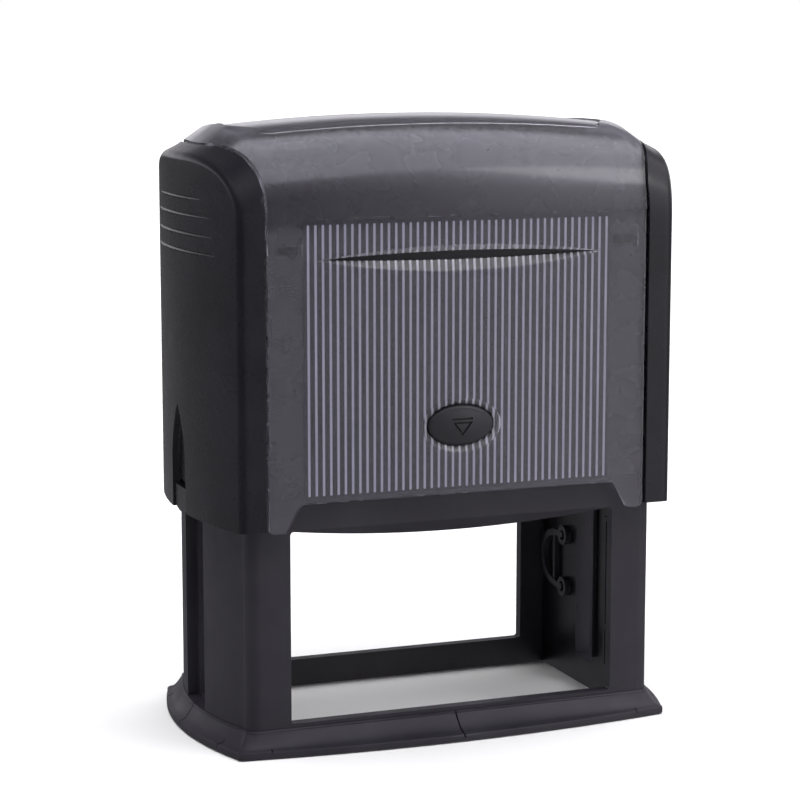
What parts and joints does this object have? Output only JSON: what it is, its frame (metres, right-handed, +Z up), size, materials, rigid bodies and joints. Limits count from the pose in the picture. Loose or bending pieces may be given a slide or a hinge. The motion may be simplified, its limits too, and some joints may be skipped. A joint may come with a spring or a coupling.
{
  "type": "self inking stamp",
  "caption": "Large self-inking hand stamp: sprung housing over a windowed frame, flipping die plate, ink pad, clear cover and two lock buttons.",
  "frame": {"origin": "centre of the footprint, on the plane of the paper, with the housing up", "axes": "+X along the long side, +Y from the front with the lock button to the identical rear, +Z up; the housing presses down along -Z"},
  "size_m": [0.1054, 0.0614, 0.1287],
  "materials": {
    "black_plastic": "satin moulded, fine grain",
    "inner_plastic": "matte moulded",
    "gloss_black": "polished",
    "smoke_cover": "smoke tinted, clear",
    "index_card": "dark card with light grey stripes",
    "spring_steel": "bright drawn wire",
    "grey_plastic": "matte moulded",
    "die_foam": "closed-cell foam",
    "die_rubber": "engraved rubber",
    "ink_felt": "ink-soaked felt"
  },
  "bodies": {
    "frame": {"frame": "black_plastic", "cartridge_tray": "inner_plastic", "ink_pad": "ink_felt", "return_spring_left": "spring_steel", "return_spring_right": "spring_steel"},
    "housing": {"housing_shell": "black_plastic", "clear_cover": "smoke_cover", "die_yoke": "inner_plastic", "axle_pin_left": "spring_steel", "axle_pin_right": "spring_steel", "front_index_card": "index_card", "rear_index_card": "index_card", "top_index_card": "index_card", "front_button_spring": "spring_steel", "rear_button_spring": "spring_steel"},
    "die": {"die_plate": "grey_plastic", "die_cushion": "die_foam", "rubber_die": "die_rubber"},
    "front_button": {"front_lock_button": "gloss_black"},
    "rear_button": {"rear_lock_button": "gloss_black"}
  },
  "joints": [
    {"name": "press", "type": "slide", "parent": "frame", "child": "housing", "axis": [0, 0, -1], "range_m": [0, 0.041], "stiffness_N_per_m": 280, "springref_m": -0.016, "deforming": ["return_spring_left", "return_spring_right"]},
    {"name": "die_flip", "type": "hinge", "parent": "housing", "child": "die", "pos_m": [0, 0, 0.0515], "axis": [1, 0, 0], "range_deg": [-180, 0]},
    {"name": "front_lock_press", "type": "slide", "parent": "housing", "child": "front_button", "axis": [0, 1, 0], "range_m": [0, 0.0014], "stiffness_N_per_m": 400, "springref_m": -0.002, "deforming": ["front_button_spring"]},
    {"name": "rear_lock_press", "type": "slide", "parent": "housing", "child": "rear_button", "axis": [0, -1, 0], "range_m": [0, 0.0014], "stiffness_N_per_m": 400, "springref_m": -0.002, "deforming": ["rear_button_spring"]}
  ],
  "couplings": [
    {"joint": "die_flip", "follows": "press", "rad_per_m": -76.62}
  ]
}
